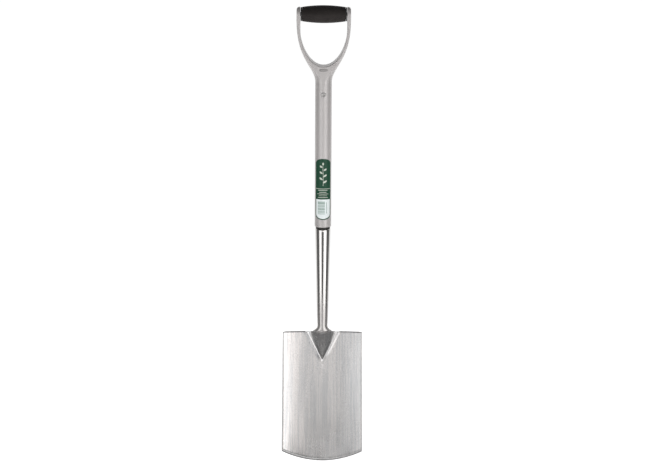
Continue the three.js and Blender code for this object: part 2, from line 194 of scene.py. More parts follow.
def thick_sheet(middle, thickness, rim_steps=4):
    """Points and faces of a sheet with rounded edges, from a grid of middle points and one of thicknesses."""
    rows, columns = middle.shape[:2]
    down = np.gradient(middle, axis=0)
    across = np.gradient(middle, axis=1)
    normal = np.cross(across, down)
    normal /= np.linalg.norm(normal, axis=2, keepdims=True)
    half = thickness[..., None] / 2
    front = (middle + normal * half).reshape(-1, 3)
    back = (middle - normal * half).reshape(-1, 3)
    count = rows * columns
    points = [*front, *back]
    faces = grid_faces(rows, columns) + [f[::-1] for f in grid_faces(rows, columns, start=count)]

    border = [(0, c) for c in range(columns)] + [(r, columns - 1) for r in range(1, rows)]
    border += [(rows - 1, c) for c in range(columns - 2, -1, -1)] + [(r, 0) for r in range(rows - 2, 0, -1)]
    loop = np.array([middle[r, c] for r, c in border])
    tangent = np.roll(loop, -1, axis=0) - np.roll(loop, 1, axis=0)
    facing = np.array([normal[r, c] for r, c in border])
    outward = np.cross(tangent, facing)
    outward /= np.linalg.norm(outward, axis=1, keepdims=True) + 1e-12
    inside = loop.mean(axis=0)
    outward *= np.sign(np.einsum("ij,ij->i", outward, loop - inside))[:, None]
    halves = np.array([thickness[r, c] / 2 for r, c in border])[:, None]
    loops = [[r * columns + c for r, c in border]]
    for step in range(1, rim_steps):
        angle = math.pi * step / rim_steps
        ring = loop + facing * halves * math.cos(angle) + outward * halves * math.sin(angle)
        loops.append(list(range(len(points), len(points) + len(border))))
        points.extend(ring)
    loops.append([count + r * columns + c for r, c in border])
    for first, second in zip(loops, loops[1:]):
        for k in range(len(border)):
            n = (k + 1) % len(border)
            faces.append((first[k], first[n], second[n], second[k]))
    return points, faces


# ---- materials ----
class Look:
    """A node material built step by step around one Principled shader."""

    def __init__(self, name, **values):
        self.material = bpy.data.materials.new(name)
        self.material.use_nodes = True
        self.tree = self.material.node_tree
        self.shader = self.tree.nodes["Principled BSDF"]
        self.position = self.node("ShaderNodeTexCoord").outputs["Object"]
        for socket, value in values.items():
            self.shader.inputs[socket.replace("_", " ")].default_value = value

    def node(self, kind, **settings):
        made = self.tree.nodes.new(kind)
        for key, value in settings.items():
            if hasattr(made, key):
                setattr(made, key, value)
            else:
                made.inputs[key].default_value = value
        return made

    def link(self, output, socket):
        self.tree.links.new(output, socket)

    def set(self, socket, output):
        self.link(output, self.shader.inputs[socket])

    def noise(self, scale, detail=4, roughness=0.6):
        """Noise over the object's own place, scale in waves a metre along x, y and z."""
        mapping = self.node("ShaderNodeMapping", Scale=scale)
        self.link(self.position, mapping.inputs["Vector"])
        noise = self.node("ShaderNodeTexNoise", Scale=1.0, Detail=detail, Roughness=roughness)
        self.link(mapping.outputs["Vector"], noise.inputs["Vector"])
        return noise.outputs["Fac"]

    def remap(self, value, low, high, to_low, to_high):
        """A value smoothly carried from one range to another, and held at its ends."""
        made = self.node("ShaderNodeMapRange", interpolation_type="SMOOTHSTEP")
        self.link(value, made.inputs["Value"])
        ends = {"From Min": low, "From Max": high, "To Min": to_low, "To Max": to_high}
        for socket, number in ends.items():
            made.inputs[socket].default_value = number
        return made.outputs["Result"]

    def math(self, operation, first, second):
        made = self.node("ShaderNodeMath", operation=operation)
        for socket, value in zip(made.inputs, (first, second)):
            if isinstance(value, (int, float)):
                socket.default_value = value
            else:
                self.link(value, socket)
        return made.outputs[0]

    def blend(self, factor, first, second):
        """A colour between two, each a colour or an output."""
        made = self.node("ShaderNodeMix", data_type="RGBA")
        self.link(factor, made.inputs[0])
        for socket, value in ((made.inputs[6], first), (made.inputs[7], second)):
            if isinstance(value, tuple):
                socket.default_value = (*value, 1)
            else:
                self.link(value, socket)
        return made.outputs[2]

    def axis(self, letter):
        split = self.node("ShaderNodeSeparateXYZ")
        self.link(self.position, split.inputs[0])
        return split.outputs[letter]

    def bump(self, height, strength, distance_mm):
        made = self.node("ShaderNodeBump", Strength=strength, Distance=distance_mm * MM)
        self.link(height, made.inputs["Height"])
        self.set("Normal", made.outputs["Normal"])


def brushed_steel():
    look = Look("brushed_blade", Metallic=1.0)
    fine = look.noise((1500, 1500, 9), detail=5, roughness=0.7)
    broad = look.noise((260, 60, 3), detail=4)
    cloud = look.noise((16, 16, 9), detail=3)
    tone = look.blend(look.remap(fine, 0.3, 0.7, 0, 1), (0.74, 0.72, 0.71), (0.86, 0.845, 0.84))
    tone = look.blend(look.remap(broad, 0.42, 0.60, 0, 1), tone, (0.69, 0.69, 0.695))
    look.set("Base Color", tone)
    rough = look.remap(fine, 0.25, 0.75, 0.20, 0.30)
    rough = look.math("ADD", rough, look.remap(cloud, 0.3, 0.7, -0.04, 0.05))
    look.set("Roughness", rough)
    look.bump(broad, 0.05, 0.05)
    return look.material


def polished_steel():
    look = Look("polished_neck", Metallic=1.0)
    height = look.axis("Z")
    lower = look.remap(height, 0.32, 0.42, 1, 0)
    smear = look.noise((60, 60, 14), detail=4)
    fine = look.noise((900, 900, 30), detail=4)
    tone = look.blend(lower, (0.80, 0.785, 0.77), (0.66, 0.635, 0.62))
    look.set("Base Color", look.blend(look.remap(smear, 0.35, 0.65, 0, 0.25), tone, (0.70, 0.68, 0.66)))
    rough = look.remap(height, 0.32, 0.42, 0.34, 0.09)
    look.set("Roughness", look.math("ADD", rough, look.remap(fine, 0.3, 0.7, -0.01, 0.04)))
    look.bump(fine, 0.05, 0.03)
    return look.material


def weld_metal():
    look = Look("weld_bead", Metallic=1.0)
    heat = look.noise((220, 220, 220), detail=4)
    tone = look.blend(look.remap(heat, 0.35, 0.65, 0, 1), (0.44, 0.40, 0.36), (0.60, 0.585, 0.56))
    look.set("Base Color", tone)
    look.set("Roughness", look.remap(heat, 0.3, 0.7, 0.32, 0.55))
    look.bump(look.noise((900, 900, 900), detail=3), 0.25, 0.08)
    return look.material


def rivet_metal():
    look = Look("rivet_steel", Metallic=1.0)
    wear = look.noise((420, 420, 420), detail=5)
    tone = look.blend(look.remap(wear, 0.35, 0.65, 0, 1), (0.50, 0.49, 0.48), (0.62, 0.61, 0.60))
    look.set("Base Color", tone)
    look.set("Roughness", look.remap(wear, 0.3, 0.7, 0.30, 0.48))
    look.bump(wear, 0.15, 0.05)
    return look.material


def grey_plastic(name, shade=1.0):
    """Silvery grey plastic; shade darkens the whole colour, as painted shade."""
    look = Look(name, Metallic=0.35, Coat_Weight=0.2, Coat_Roughness=0.25)
    grain = look.noise((1300, 1300, 1300), detail=2)
    flow = look.noise((30, 30, 5), detail=4)
    scuff = look.noise((700, 700, 60), detail=5, roughness=0.75)
    darker = tuple(shade * value for value in (0.50, 0.478, 0.472))
    lighter = tuple(shade * value for value in (0.54, 0.518, 0.512))
    tone = look.blend(look.remap(flow, 0.35, 0.65, 0, 1), darker, lighter)
    tone = look.blend(look.remap(scuff, 0.68, 0.80, 0, 0.2), tone, (0.60, 0.59, 0.585))
    look.set("Base Color", tone)
    look.set("Roughness", look.remap(scuff, 0.3, 0.7, 0.34, 0.46))
    look.bump(grain, 0.12, 0.06)
    return look.material


def black_plastic():
    look = Look("black_plastic")
    grain = look.noise((1100, 1100, 1100), detail=2)
    cloud = look.noise((90, 90, 90), detail=4)
    tone = look.blend(look.remap(cloud, 0.35, 0.65, 0, 1), (0.016, 0.015, 0.014), (0.028, 0.026, 0.025))
    look.set("Base Color", tone)
    look.set("Roughness", look.remap(cloud, 0.3, 0.7, 0.36, 0.5))
    look.bump(grain, 0.12, 0.06)
    return look.material


def soft_grip():
    look = Look("soft_grip", Sheen_Weight=0.05, Sheen_Roughness=0.6)
    look.shader.inputs["Specular IOR Level"].default_value = 0.3
    cells = look.node("ShaderNodeTexVoronoi", Scale=900.0)
    look.link(look.position, cells.inputs["Vector"])
    worn = look.noise((40, 40, 40), detail=4)
    tone = look.blend(look.remap(worn, 0.35, 0.65, 0, 1), (0.015, 0.0115, 0.0105), (0.023, 0.0185, 0.017))
    look.set("Base Color", tone)
    look.set("Roughness", look.remap(worn, 0.3, 0.7, 0.62, 0.78))
    look.bump(look.remap(cells.outputs["Distance"], 0.0, 0.6, 1, 0), 0.35, 0.12)
    return look.material


def label_film():
    look = Look("label_film", Coat_Weight=0.1, Coat_Roughness=0.3)
    look.shader.inputs["Specular IOR Level"].default_value = 0.2
    ink = look.node("ShaderNodeAttribute", attribute_name="ink").outputs["Color"]
    paper = look.noise((800, 800, 800), detail=3)
    look.set("Base Color", look.blend(look.remap(paper, 0.3, 0.7, 0.0, 0.03), ink, (0.45, 0.5, 0.47)))
    look.set("Roughness", look.remap(paper, 0.3, 0.7, 0.32, 0.42))
    look.bump(look.noise((120, 120, 60), detail=3), 0.06, 0.05)
    return look.material


def tube_steel():
    look = Look("tube_steel", Metallic=1.0)
    drawn = look.noise((900, 900, 20), detail=4)
    tone = look.blend(look.remap(drawn, 0.3, 0.7, 0, 1), (0.33, 0.335, 0.34), (0.46, 0.465, 0.47))
    look.set("Base Color", tone)
    look.set("Roughness", look.remap(drawn, 0.3, 0.7, 0.35, 0.5))
    look.bump(drawn, 0.1, 0.05)
    return look.material


STEEL = brushed_steel()
POLISHED = polished_steel()
WELD = weld_metal()
RIVET = rivet_metal()
GREY = grey_plastic("grey_plastic")
# The pad gets a darker copy of the grey plastic: painted shade, as if the pad sat in a recess.
PAD_PAINTED_SHADE_GREY = grey_plastic("pad_plastic_painted_shade", 0.62)
BLACK = black_plastic()
SOFT = soft_grip()
FILM = label_film()
TUBE = tube_steel()


# ---- blade ----
def foot_z(x):
    return FOOT_RADIUS - np.sqrt(FOOT_RADIUS**2 - x**2)


def rim_half_width(d):
    return np.maximum(VALLEY_HALF_WIDTH * (1 - d / VALLEY_LENGTH), VALLEY_TIP_HALF_WIDTH)


def valley(q, d):
    """Depth of the pressed hollow at a share q of its half-width, d below the top edge."""
    s = VALLEY_SHOULDER
    full = VALLEY_DEPTH * np.clip(1 - d / VALLEY_LENGTH, 0, 1)
    wall = np.where(q > 1 - s, (1 - np.minimum(q, 1)) ** 2 / (2 * s), s / 2 + (1 - s - q))
    return full * wall / (1 - s / 2)


def blade_half_width(d):
    half = lerp(TOP_HALF_WIDTH, FOOT_HALF_WIDTH, d / TOP)
    above = np.clip(CORNER_RADIUS - d, 0, CORNER_RADIUS)
    return half - CORNER_RADIUS + np.sqrt(CORNER_RADIUS**2 - above**2)


def plain_sheet_y(x, d):
    bent = np.maximum(0, (np.abs(x) / TOP_HALF_WIDTH - FLAT_SHARE) / (1 - FLAT_SHARE))
    return BLADE_FRONT - LIFT * d / TOP - DISH * bent**2


def back_y(x, z):
    """The y of the blade's back face."""
    d = np.maximum(0, TOP - z)
    return plain_sheet_y(x, d) + valley(np.abs(x) / rim_half_width(d), d) + SHEET


def pressed_details(x, d):
    """The hollow's raised rims, the press's crossed marks under its tip, and a slight waviness."""
    fade = ease((VALLEY_LENGTH + 2 - d) / 20)
    rim = 1.1 * fade * np.exp(-(((np.abs(x) - rim_half_width(d) - 0.5) / 3.6) ** 2))
    below = d - VALLEY_LENGTH - 12
    crossed = np.exp(-(((np.abs(x) - 0.42 * np.abs(below)) / 1.1) ** 2)) * np.exp(-((below / 9) ** 2))
    wave = 0.16 * np.sin(x / 21 + 0.6) * np.sin(d / 47 + 0.9) + 0.1 * np.sin(x / 9.5 + d / 60)
    calm = ease(d / 30) * ease((TOP - d - foot_z(x)) / 25) * ease((TOP_HALF_WIDTH - np.abs(x)) / 25)
    return -rim - 0.15 * crossed + wave * calm


def blade_row(share, upper, lower):
    """One row of middle points and thicknesses, upper below the top and then lower, a share, to the foot."""
    inset = SHEET / 2
    rim = rim_half_width(upper)
    half = blade_half_width(lerp(upper, TOP, lower)) - inset
    u = np.abs(share)
    x = np.sign(share) * np.where(u < 1, rim * u, lerp(rim, half, np.clip(u - 1, 0, 1)))
    foot = foot_z(x) + EDGE_SHEET / 2
    z = lerp(TOP - upper, foot, lower)
    depth = TOP - z
    y = plain_sheet_y(x, depth) + valley(np.abs(x) / rim_half_width(depth), depth) + inset
    y = y + pressed_details(x, depth)
    thick = lerp(EDGE_SHEET, SHEET, np.clip((z - foot) / BEVEL_LENGTH, 0, 1))
    return np.stack([x, y + (SHEET - thick) / 2, z], axis=1), thick


def tread_rows(first, thick):
    """The rows above the bend: they turn back as treads, and go straight up over the hollow."""
    x = first[:, 0]
    inner = ease((np.abs(x) - TREAD_INNER_X + 2) / TREAD_END)
    outer = ease((TREAD_OUTER_X + 1 - np.abs(x)) / TREAD_END)
    radius = TREAD_BEND - SHEET / 2
    rows = []
    for k in range(1, TREAD_ROWS + 1):
        t = k / TREAD_ROWS
        arc = min(t / 0.5, 1) * math.pi / 2
        flat = max(t - 0.5, 0) / 0.5 * TREAD_FLAT
        curled_y = first[:, 1] + radius * (1 - math.cos(arc)) + flat
        curled_z = first[:, 2] + radius * math.sin(arc)
        straight_z = first[:, 2] + radius * t
        y = lerp(first[:, 1], curled_y, inner * outer)
        z = lerp(straight_z, curled_z, inner * outer)
        rows.append((np.stack([x, y, z], axis=1), thick))
    return rows


def make_blade():
    hollow_columns, side_columns = 32, 26
    share = np.linspace(0, 1, hollow_columns, endpoint=False)
    share = np.concatenate([share, 1 + np.linspace(0, 1, side_columns + 1)])
    share = np.concatenate([-share[:0:-1], share])
    upper_rows, lower_rows = 84, 76
    rows = [blade_row(share, d, 0.0) for d in np.linspace(TREAD_BEND, HOLLOW_ROWS_DOWN_TO, upper_rows)]
    rows += [blade_row(share, HOLLOW_ROWS_DOWN_TO, t) for t in np.linspace(0, 1, lower_rows)[1:]]
    rows = tread_rows(*rows[0])[::-1] + rows
    middle = np.array([row for row, _ in rows])
    thickness = np.array([t for _, t in rows])
    points, faces = thick_sheet(middle, thickness)
    return piece("blade_pressed", points, faces, STEEL, ("blade",), 50)


# ---- neck ----
def neck_radius(z):
    rise = np.clip((z - WAIST_Z) / (NECK_HIGH[2] - WAIST_Z), 0, 1)
    return lerp(WAIST_RADIUS, NECK_TOP_RADIUS, rise**0.93)


def tongue_share(z):
    """0 at the tongue's foot, 1 at the top of the blade."""
    return (z - NECK_LOW[2]) / (TOP - NECK_LOW[2])


def neck_half_width(z):
    if z >= TOP:
        flare = np.clip(1 - (z - TOP) / (FLARE_TOP_Z - TOP), 0, 1) ** 2.6
        return lerp(neck_radius(z), FLARE_HALF_WIDTH, flare)
    return lerp(TONGUE_FOOT_HALF_WIDTH, FLARE_HALF_WIDTH, tongue_share(z))


def tongue_thickness(z):
    return lerp(TONGUE_FOOT_THICKNESS, TONGUE_THICKNESS, tongue_share(z))


def make_neck():
    segments = 96
    angles = np.arange(segments) * 2 * math.pi / segments
    across, deep = np.cos(angles), np.sin(angles)
    rings = []
    for z in np.linspace(NECK_LOW[2], TOP, 46):
        x = across * neck_half_width(z)
        base = back_y(x, np.full_like(x, z)) + 0.25
        y = base + np.where(deep > 0, deep * tongue_thickness(z), 0)
        rings.append(np.stack([x, y, np.full_like(x, z)], axis=1))
    flare_heights = TOP + 0.3 + 13 * np.linspace(0, 1, 24) ** 1.5
    for z in [*flare_heights, *np.linspace(TOP + 16, NECK_HIGH[2] - 1.2, 60)]:
        x = across * neck_half_width(z)
        y = deep * neck_radius(z)
        rings.append(np.stack([x, y, np.full_like(x, z)], axis=1))
    # A rolled lip, then the bore down to where the ring hides it.
    for inset, rise in ((0.35, -0.35), (1.2, 0.0), (2.2, 0.0), (3.0, -0.8), (3.2, -6)):
        radius = NECK_TOP_RADIUS - inset
        level = np.full_like(across, NECK_HIGH[2] + rise)
        rings.append(np.stack([across * radius, deep * radius, level], axis=1))
    points = np.concatenate(rings)
    faces = grid_faces(len(rings), segments, closed=True)
    faces += [tuple(range(segments)), tuple(range(len(points) - segments, len(points)))]
    return piece("neck_tube", points, faces, POLISHED, ("neck_socket",), 50)


def make_weld(side, node):
    """A bead of overlapping ripples down one edge of the neck's tongue."""
    steps, around = 240, 20
    z = np.linspace(TOP - 2.6, NECK_LOW[2] + 5, steps)
    half = np.array([neck_half_width(v) for v in z])
    x = side * (half + 0.5)
    y = back_y(x, z) + 0.5
    centre = np.stack([x, y, z], axis=1)
    ahead = np.gradient(centre, axis=0)
    ahead /= np.linalg.norm(ahead, axis=1, keepdims=True)
    up = np.cross(ahead, (0, 1, 0))
    up /= np.linalg.norm(up, axis=1, keepdims=True)
    out = np.cross(up, ahead)
    run = np.linspace(0, 1, steps)
    ripple = 1.35 + 0.28 * np.abs(np.sin(run * math.pi * 26)) ** 0.7
    ripple *= np.minimum(1, np.minimum(run, 1 - run) * 30 + 0.25)
    points = []
    for k in range(steps):
        for a in np.arange(around) * 2 * math.pi / around:
            points.append(centre[k] + ripple[k] * (up[k] * math.cos(a) * 1.15 + out[k] * math.sin(a) * 0.8))
    faces = grid_faces(steps, around, closed=True)
    faces += [tuple(range(around)), tuple(range(len(points) - around, len(points)))]
    return piece(f"{node}_bead", points, faces, WELD, (node,), 60)


def rivet_head(reach, radius, height, dish, z, side, name, nodes, material):
    """A rivet head standing on the surface at y = side * reach, with a rounded edge and a dished middle."""
    profile = []
    for t in np.linspace(0, 1, 9):
        profile.append((radius * 0.42 * t, height - dish * (1 - t**2)))
    for a in np.linspace(math.pi / 2, 0, 9):
        profile.append((radius * (0.72 + 0.28 * math.cos(a)), height * math.sin(a)))
    profile.append((radius, -1.0))
    profile.append((0.0, -1.0))
    points, faces = turned(profile, 48)
    points = [(px, side * (reach + pz), py + z) for px, py, pz in points]
    return piece(name, points, faces, material, nodes, 40)


def make_rivets():
    """The two heads of the rivet through shaft and handle, and the one head behind the neck."""
    z = (RIVET_LOW[2] + RIVET_HIGH[2]) / 2
    for side, face in ((-1, "front"), (1, "back")):
        name = f"yoke_rivet_{face}"
        reach = SLEEVE_RADIUS - 0.9
        rivet_head(reach, 5.5, 1.4, 0.9, z, side, name, ("yoke_rivet",), RIVET)
    z = (SOCKET_RIVET_LOW[2] + SOCKET_RIVET_HIGH[2]) / 2
    reach = float(neck_radius(z)) - 0.25
    rivet_head(reach, 4.5, 2.4, 0.0, z, 1, "socket_rivet_head", ("socket_rivet",), RIVET)


# ---- shaft ----
def low_corner(radius, z, size, first, last, count):
    """A rounded lower corner of a turned profile, from the face at z to the side at radius."""
    angles = np.linspace(first, last, count)
    return [(radius - size + size * math.sin(a), z + size - size * math.cos(a)) for a in angles]


def high_corner(radius, z, size, first, last, count):
    """A rounded upper corner of a turned profile, from the side at radius to the face at z."""
    angles = np.linspace(first, last, count)
    return [(radius - size + size * math.cos(a), z - size + size * math.sin(a)) for a in angles]


def make_ring():
    low, high = RING_LOW[2], RING_HIGH[2]
    bulge = 0.9
    flat = RING_RADIUS - bulge
    profile = [(BORE_RADIUS, low), (flat, low)]
    for a in np.linspace(-math.pi / 2, math.pi / 2, 13):
        profile.append((flat + bulge * math.cos(a), (low + high) / 2 + (high - low) / 2 * math.sin(a)))
    profile += [(flat, high), (BORE_RADIUS, high), (BORE_RADIUS, low)]
    points, faces = turned(profile, 96)
    return piece("collar_ring_moulded", points, faces, BLACK, ("collar_ring",))


def make_sleeve():
    low, high, radius = SLEEVE_LOW[2], SLEEVE_HIGH[2], SLEEVE_RADIUS
    edge = 1.3
    profile = [(BORE_RADIUS, low), (radius - edge, low), *low_corner(radius, low, edge, 0.1, 1.57, 8)]
    profile += [(radius, z) for z in np.linspace(low + 6, high - 1, 60)]
    profile += [(radius, high), (BORE_RADIUS, high), (BORE_RADIUS, low)]
    points, faces = turned(profile, 128)
    return piece("shaft_cover", points, faces, GREY, ("shaft_sleeve",))


# ---- label ----
GREEN = (0.0052, 0.058, 0.028)
GREEN_PALE = (0.62, 0.66, 0.58)
WHITE = (0.80, 0.86, 0.86)
BAR = (0.13, 0.24, 0.19)
LABEL_HALF_WIDTH = math.pi / 3 * SLEEVE_RADIUS  # measured round the shaft
LABEL_BORDER = 2.4
LABEL_RULES = (11.5, 9.5, 12.5, 8.0, 10.5)  # half-lengths of the plain rules on the green panel


def label_ink(s, z):
    """The printed colour at s millimetres round the shaft and height z."""
    low, high = LABEL_LOW[2], LABEL_HIGH[2]
    seam = lerp(low, high, 0.335)
    colour = np.empty((*s.shape, 3))
    colour[:] = GREEN

    def paint(mask, tone):
        colour[mask] = tone

    side = LABEL_HALF_WIDTH - LABEL_BORDER
    end = 10.0
    drop = np.clip((low + LABEL_BORDER + end - z) / end, 0, 1)
    inner = side * np.sqrt(1 - drop**2)
    paint((np.abs(s) < inner) & (z > low + LABEL_BORDER) & (z < seam), WHITE)
    paint((np.abs(z - lerp(low, high, 0.508)) < 0.55) & (np.abs(s) < side), GREEN_PALE)
    for k, length in enumerate(LABEL_RULES):
        rule_z = seam + 4.5 + 4.0 * k
        paint((np.abs(z - rule_z) < 0.5) & (np.abs(s + 0.5) < length), GREEN_PALE)
    # A plain block of bars on the white panel.
    bars_low, bars_high = low + 12.5, seam - 4.5
    wave = np.sin(z * 2.9) + 0.6 * np.sin(z * 6.7 + 1.0)
    paint((s > -12) & (s < 4.5) & (z > bars_low) & (z < bars_high) & (wave > 0.05), BAR)
    paint((s > 7.5) & (s < 8.6) & (z > bars_low + 2) & (z < bars_high - 2), BAR)
    # A sprig of leaves on the green panel.
    foot, tip = lerp(low, high, 0.56), lerp(low, high, 0.90)
    paint((np.abs(s - 0.5 * np.sin((z - foot) / 9)) < 0.45) & (z > foot) & (z < tip), GREEN_PALE)
    for k in range(6):
        side = -1 if k % 2 else 1
        leaf_z = lerp(foot + 7, tip - 6, k / 5)
        ds, dz = s - side * 4.6, z - leaf_z - 2.2
        turn = side * 0.62
        along = ds * math.cos(turn) + dz * math.sin(turn)
        over = -ds * math.sin(turn) + dz * math.cos(turn)
        size = lerp(5.2, 3.6, k / 5)
        paint((np.abs(over) < 2.0 * (1 - (along / size) ** 2)) & (np.abs(along) < size), GREEN_PALE)
    top = (z - tip + 1) / 7
    paint((np.abs(s) < 1.9 * np.sin(math.pi * np.clip(top, 0, 1))) & (top > 0) & (top < 1), GREEN_PALE)
    return colour


def make_label():
    low, high = LABEL_LOW[2] + 0.1, LABEL_HIGH[2] - 0.1
    half, end = LABEL_HALF_WIDTH - 0.1, 11.5
    turn = np.linspace(0.06, math.pi / 2, 26)
    z = np.concatenate([low + end * (1 - np.cos(turn)), np.linspace(low + end, high - end, 330)[1:-1]])
    z = np.concatenate([z, high - end * (1 - np.cos(turn[::-1]))])[::-1]
    drop = np.clip(np.maximum(low + end - z, z - high + end) / end, 0, 0.9985)
    width = half * np.sqrt(1 - drop**2)
    s = width[:, None] * np.linspace(-1, 1, 111)[None, :]
    zz = np.repeat(z[:, None], s.shape[1], axis=1)
    angle = s / SLEEVE_RADIUS
    radius = SLEEVE_RADIUS + 0.3
    middle = np.stack([radius * np.sin(angle), -radius * np.cos(angle), zz], axis=2)
    points, faces = thick_sheet(middle, np.full(s.shape, 0.16), rim_steps=2)
    obj = piece("label_print", points, faces, FILM, ("label",), 60)
    place_of = np.empty(len(obj.data.vertices) * 3)
    obj.data.vertices.foreach_get("co", place_of)
    place_of = place_of.reshape(-1, 3) / MM - (0, AXIS_Y, 0)
    around = np.arctan2(place_of[:, 0], -place_of[:, 1]) * SLEEVE_RADIUS
    ink = label_ink(around, place_of[:, 2])
    layer = obj.data.color_attributes.new("ink", "FLOAT_COLOR", "POINT")
    layer.data.foreach_set("color", np.concatenate([ink, np.ones((len(ink), 1))], axis=1).ravel())
    return obj


# ---- handle ----
def bezier(a, b, c, d, count):
    t = np.linspace(0, 1, count)[:, None]
    a, b, c, d = (np.array(p, float) for p in (a, b, c, d))
    return a * (1 - t) ** 3 + 3 * b * t * (1 - t) ** 2 + 3 * c * t**2 * (1 - t) + d * t**3


THROAT_Z = 894.6
ARM_FOOT_Z = 974  # where the inner curve of the D ends
SHOULDER_Z = 994  # where the outer curve ends
OUTER = 60.4  # half the handle's width
ARM = 8.5
HANDLE_CORNER = 7
THROAT_HALF_DEPTH = 18.4
ARM_HALF_DEPTH = 14.5
ROD_BORE = 4.2
PAD_Z = YOKE_LOW[2] + 75
PAD_HALF_LENGTH = 9.5
PAD_HALF_HEIGHT = 3.1
HANDLE_TOP = YOKE_HIGH[2]
STEM_FOOT = SLEEVE_HIGH[2] + 0.06


def outer_curve(count):
    """The outer side of the D, from an arm down to the shaft and a little further."""
    curve = bezier((OUTER, SHOULDER_Z), (OUTER, 904.5), (16.8, 891.5), (SLEEVE_RADIUS, STEM_FOOT), count)
    return np.concatenate([curve, [(SLEEVE_RADIUS, STEM_FOOT - 6)]])


def handle_outline():
    inner = bezier((0, THROAT_Z), (30, THROAT_Z), (OUTER - ARM, 939), (OUTER - ARM, ARM_FOOT_Z), 40)
    corner = high_corner(OUTER, HANDLE_TOP, HANDLE_CORNER, math.pi / 2, 0, 12)
    outer = outer_curve(60)
    half = [*map(tuple, inner), (OUTER - ARM, HANDLE_TOP), *corner, *map(tuple, outer)]
    return half + [(-x, z) for x, z in half[:0:-1]]


def handle_half_depth(z):
    arm = lerp(THROAT_HALF_DEPTH, ARM_HALF_DEPTH, ease((z - THROAT_Z + 10) / (985 - THROAT_Z + 10)))
    above = np.clip((z - GRIP_Z) / (HANDLE_TOP - GRIP_Z + 0.2), 0, 1)
    return arm * np.sqrt(1 - above**2)


def loose_mesh(name, points, faces):
    """A working mesh in metres that is no piece of the spade."""
    mesh = bpy.data.meshes.new(name)
    mesh.from_pydata([tuple(p) for p in place(points)], [], [tuple(f) for f in faces])
    obj = bpy.data.objects.new(name, mesh)
    bpy.context.scene.collection.objects.link(obj)
    tidy(obj)
    return obj


def prism(outline, low, high, axis):
    """An outline pushed along an axis: outline holds (x, z) for axis y and (y, z) for axis x."""
    count = len(outline)
    if axis == "y":
        points = [(x, v, z) for v in (low, high) for x, z in outline]
    else:
        points = [(v, y, z) for v in (low, high) for y, z in outline]
    faces = [tuple(range(count)), tuple(range(count, 2 * count))]
    faces += [(k, (k + 1) % count, count + (k + 1) % count, count + k) for k in range(count)]
    return points, faces


def combine(obj, other, operation):
    modifier = obj.modifiers.new("cut", "BOOLEAN")
    modifier.operation = operation
    modifier.solver = "EXACT"
    modifier.object = other
    apply_all(obj)
    bpy.data.objects.remove(other)


def apply_all(obj):
    graph = bpy.context.evaluated_depsgraph_get()
    mesh = bpy.data.meshes.new_from_object(obj.evaluated_get(graph))
    obj.modifiers.clear()
    obj.data = mesh


def cut_cylinder(body, profile, segments, operation):
    points, faces = capped_turn(profile, segments)
    combine(body, loose_mesh("cutter", points, faces), operation)


def make_handle():
    depth, clear = 30, 90
    body = loose_mesh("handle_yoke_moulded", *prism(handle_outline(), -depth, depth, "y"))
    lower, upper = np.linspace(STEM_FOOT - 7, GRIP_Z, 40), np.linspace(GRIP_Z, HANDLE_TOP + 0.1, 24)
    side = [(handle_half_depth(z), z) for z in [*lower, *upper[1:]]]
    side += [(-y, z) for y, z in side[::-1]]
    combine(body, loose_mesh("side_limit", *prism(side, -clear, clear, "x")), "INTERSECT")
    above = SHOULDER_Z + 86
    limit = [(0.01, STEM_FOOT - 6), *map(tuple, outer_curve(40)[::-1])]
    limit += [(clear, SHOULDER_Z + 11), (clear, above), (0.01, above)]
    cut_cylinder(body, limit, 128, "INTERSECT")
    bore, bore_faces = capped_turn([(ROD_BORE, -80), (ROD_BORE, 80)], 32)
    combine(body, loose_mesh("rod_bore", along_x(bore, GRIP_Z), bore_faces), "DIFFERENCE")
    remesh = body.modifiers.new("even", "REMESH")
    remesh.mode = "VOXEL"
    remesh.voxel_size = 0.9 * MM
    smooth = body.modifiers.new("rounding", "SMOOTH")
    smooth.factor = 0.5
    smooth.iterations = 9
    apply_all(body)
    # Rounding softens the foot too, so it is cut level where it meets the sleeve.
    cut_cylinder(body, [(depth, STEM_FOOT - 20), (depth, STEM_FOOT)], 64, "DIFFERENCE")
    return finish_piece(body, GREY, ("handle_yoke",), 50)


def make_pad():
    """The blank oval pad on the front of the handle's throat, coloured a darker grey as painted shade."""
    segments, rounded_from, crown = 72, 0.86, 0.55
    front = -float(handle_half_depth(PAD_Z))
    profile = [(share, crown) for share in np.linspace(0.02, rounded_from, 7)]
    for a in np.linspace(0, math.pi / 2, 7):
        profile.append((rounded_from + (1 - rounded_from) * math.sin(a), -0.2 + 0.95 * math.cos(a)))
    profile.append((1.0, -1.2))
    points = []
    for share, height in profile:
        for a in np.arange(segments) * 2 * math.pi / segments:
            c, s = math.cos(a), math.sin(a)
            x = PAD_HALF_LENGTH * share * math.copysign(abs(c) ** 0.8, c)
            z = PAD_Z + PAD_HALF_HEIGHT * share * math.copysign(abs(s) ** 0.8, s)
            points.append((x, front - height + 0.15, z))
    faces = grid_faces(len(profile), segments, closed=True)
    faces += [tuple(range(segments)), tuple(range(len(points) - segments, len(points)))]
    return piece("handle_pad", points, faces, PAD_PAINTED_SHADE_GREY, ())


# ---- grip ----
def make_grip():
    end = GRIP_HIGH[0]
    middle = (GRIP_HIGH[2] - GRIP_LOW[2]) / 2
    side, edge, bore = 16.0, 0.7, 12.4
    profile = [(bore, -end), (side - edge, -end), *low_corner(side, -end, edge, 0.2, 1.5, 6)]
    for x in np.linspace(-end + 1.2, end - 1.2, 120):
        profile.append((middle - (middle - side) * (x / end) ** 2, x))
    profile += high_corner(side, end, edge, 0.1, 1.4, 6)
    profile += [(side - edge, end), (bore, end), (bore, -end)]
    points, faces = turned(profile, 128)
    return piece("grip_barrel", along_x(points, GRIP_Z), faces, SOFT, ("grip_sleeve",))


